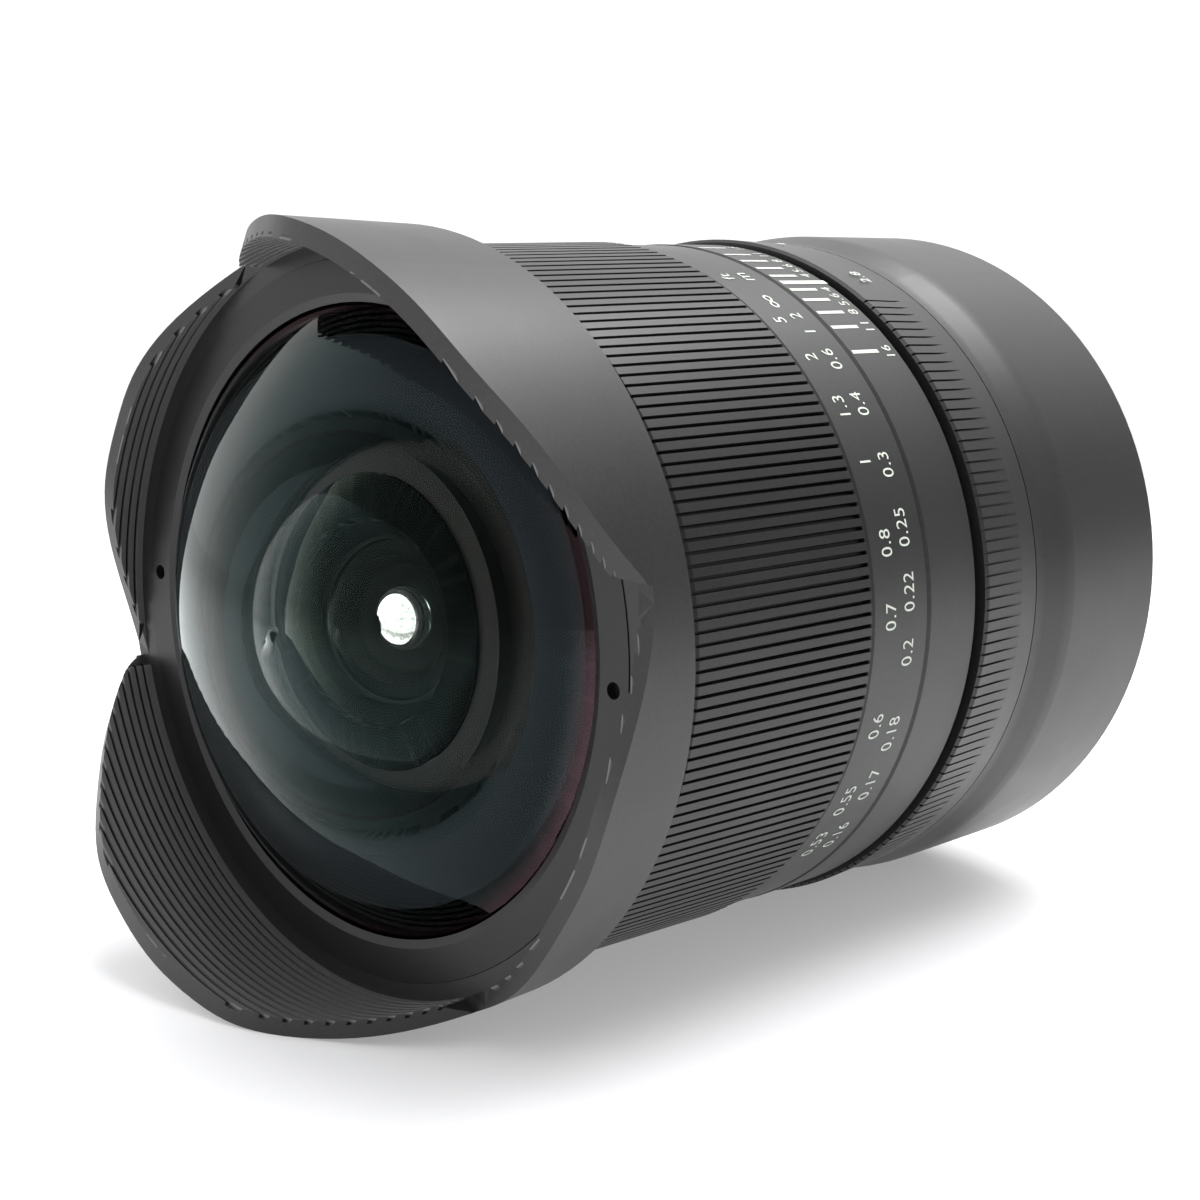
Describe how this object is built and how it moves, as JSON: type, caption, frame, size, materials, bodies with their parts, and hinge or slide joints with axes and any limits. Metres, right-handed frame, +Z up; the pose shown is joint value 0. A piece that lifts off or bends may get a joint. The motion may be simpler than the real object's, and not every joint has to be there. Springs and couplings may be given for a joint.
{
  "type": "fisheye lens",
  "caption": "Manual fisheye lens: petal hood around a bulging front glass, knurled focus ring with distance scale, clicked aperture ring with ten-blade iris, bayonet mount.",
  "frame": {"origin": "on the optical axis, in the plane of the mount flange's rear face", "axes": "+Y runs along the optical axis from the front glass to the mount; +Z is up with the lens lying on its side, the index mark 26.5 degrees from +Z towards +X; +X is to the right as seen from in front of the glass"},
  "size_m": [0.0752, 0.1028, 0.0758],
  "materials": {
    "baffle_black": "matt black",
    "barrel_black": "satin black anodised",
    "blade_steel": "blackened spring steel",
    "cell_black": "matt black anodised",
    "coated_glass": "multi-coated optical glass with green and magenta reflections",
    "dot_red": "red bead",
    "inner_tube": "black anodised aluminium",
    "key_brass": "plain brass",
    "mount_metal": "chromed brass bayonet, fine turned",
    "pin_steel": "ground steel",
    "screw_steel": "stainless steel"
  },
  "bodies": {
    "barrel": {"rear_barrel": "barrel_black", "mount_plate": "mount_metal", "mount_screws": "screw_steel", "rear_baffle": "baffle_black", "alignment_dot": "dot_red", "main_tube": "inner_tube", "scale_ring": "barrel_black", "guide_keys": "key_brass", "key_screws": "screw_steel", "focus_stop_pin": "pin_steel"},
    "focus_ring": {"focus_grip_ring": "barrel_black", "focus_scale_ring": "barrel_black", "helicoid_sleeve": "inner_tube"},
    "lens_group": {"carrier_tube": "inner_tube", "element_01": "coated_glass", "element_02": "coated_glass", "element_03": "coated_glass", "element_04": "coated_glass", "element_05": "coated_glass", "element_06": "coated_glass", "element_07": "coated_glass", "element_08": "coated_glass", "element_09": "coated_glass", "element_10": "coated_glass", "element_11": "coated_glass", "first_spacer": "cell_black", "front_cell": "cell_black", "front_lock_ring": "cell_black", "front_retaining_ring": "cell_black", "iris_cover": "cell_black", "iris_housing": "cell_black", "petal_hood": "barrel_black", "rear_cell": "cell_black", "rear_lock_ring": "cell_black", "rear_spacer": "cell_black", "second_spacer": "cell_black"},
    "iris_cam": {"iris_cam_ring": "cell_black"},
    "aperture_ring": {"aperture_ring": "barrel_black"},
    "iris_blade_01": {"iris_blade_01": "blade_steel"},
    "iris_blade_02": {"iris_blade_02": "blade_steel"},
    "iris_blade_03": {"iris_blade_03": "blade_steel"},
    "iris_blade_04": {"iris_blade_04": "blade_steel"},
    "iris_blade_05": {"iris_blade_05": "blade_steel"},
    "iris_blade_06": {"iris_blade_06": "blade_steel"},
    "iris_blade_07": {"iris_blade_07": "blade_steel"},
    "iris_blade_08": {"iris_blade_08": "blade_steel"},
    "iris_blade_09": {"iris_blade_09": "blade_steel"},
    "iris_blade_10": {"iris_blade_10": "blade_steel"}
  },
  "joints": [
    {"name": "focus_turn", "type": "hinge", "parent": "barrel", "child": "focus_ring", "pos_m": [0, 0, 0], "axis": [0, 1, 0], "range_deg": [-103, 0]},
    {"name": "focus_slide", "type": "slide", "parent": "barrel", "child": "lens_group", "axis": [0, 1, 0], "range_m": [-0.0016, 0]},
    {"name": "aperture_turn", "type": "hinge", "parent": "barrel", "child": "aperture_ring", "pos_m": [0, 0, 0], "axis": [0, 1, 0], "range_deg": [0, 50]},
    {"name": "iris_cam_turn", "type": "hinge", "parent": "lens_group", "child": "iris_cam", "pos_m": [0, 0, 0], "axis": [0, 1, 0], "range_deg": [0, 50]},
    {"name": "iris_blade_01_swing", "type": "hinge", "parent": "lens_group", "child": "iris_blade_01", "pos_m": [0.00544, -0.0242, 0.01092], "axis": [0, 1, 0], "range_deg": [0, 24.18]},
    {"name": "iris_blade_02_swing", "type": "hinge", "parent": "lens_group", "child": "iris_blade_02", "pos_m": [0.01082, -0.0242, 0.00563], "axis": [0, 1, 0], "range_deg": [0, 24.18]},
    {"name": "iris_blade_03_swing", "type": "hinge", "parent": "lens_group", "child": "iris_blade_03", "pos_m": [0.01207, -0.0242, -0.0018], "axis": [0, 1, 0], "range_deg": [0, 24.18]},
    {"name": "iris_blade_04_swing", "type": "hinge", "parent": "lens_group", "child": "iris_blade_04", "pos_m": [0.0087, -0.0242, -0.00855], "axis": [0, 1, 0], "range_deg": [0, 24.18]},
    {"name": "iris_blade_05_swing", "type": "hinge", "parent": "lens_group", "child": "iris_blade_05", "pos_m": [0.00201, -0.0242, -0.01203], "axis": [0, 1, 0], "range_deg": [0, 24.18]},
    {"name": "iris_blade_06_swing", "type": "hinge", "parent": "lens_group", "child": "iris_blade_06", "pos_m": [-0.00544, -0.0242, -0.01092], "axis": [0, 1, 0], "range_deg": [0, 24.18]},
    {"name": "iris_blade_07_swing", "type": "hinge", "parent": "lens_group", "child": "iris_blade_07", "pos_m": [-0.01082, -0.0242, -0.00563], "axis": [0, 1, 0], "range_deg": [0, 24.18]},
    {"name": "iris_blade_08_swing", "type": "hinge", "parent": "lens_group", "child": "iris_blade_08", "pos_m": [-0.01207, -0.0242, 0.0018], "axis": [0, 1, 0], "range_deg": [0, 24.18]},
    {"name": "iris_blade_09_swing", "type": "hinge", "parent": "lens_group", "child": "iris_blade_09", "pos_m": [-0.0087, -0.0242, 0.00855], "axis": [0, 1, 0], "range_deg": [0, 24.18]},
    {"name": "iris_blade_10_swing", "type": "hinge", "parent": "lens_group", "child": "iris_blade_10", "pos_m": [-0.00201, -0.0242, 0.01203], "axis": [0, 1, 0], "range_deg": [0, 24.18]}
  ],
  "couplings": [
    {"joint": "focus_slide", "follows": "focus_turn", "m_per_rad": 0.00089003},
    {"joint": "iris_cam_turn", "follows": "aperture_turn", "ratio": 1},
    {"joint": "iris_blade_01_swing", "follows": "aperture_turn", "ratio": 0.48351},
    {"joint": "iris_blade_02_swing", "follows": "aperture_turn", "ratio": 0.48351},
    {"joint": "iris_blade_03_swing", "follows": "aperture_turn", "ratio": 0.48351},
    {"joint": "iris_blade_04_swing", "follows": "aperture_turn", "ratio": 0.48351},
    {"joint": "iris_blade_05_swing", "follows": "aperture_turn", "ratio": 0.48351},
    {"joint": "iris_blade_06_swing", "follows": "aperture_turn", "ratio": 0.48351},
    {"joint": "iris_blade_07_swing", "follows": "aperture_turn", "ratio": 0.48351},
    {"joint": "iris_blade_08_swing", "follows": "aperture_turn", "ratio": 0.48351},
    {"joint": "iris_blade_09_swing", "follows": "aperture_turn", "ratio": 0.48351},
    {"joint": "iris_blade_10_swing", "follows": "aperture_turn", "ratio": 0.48351}
  ]
}
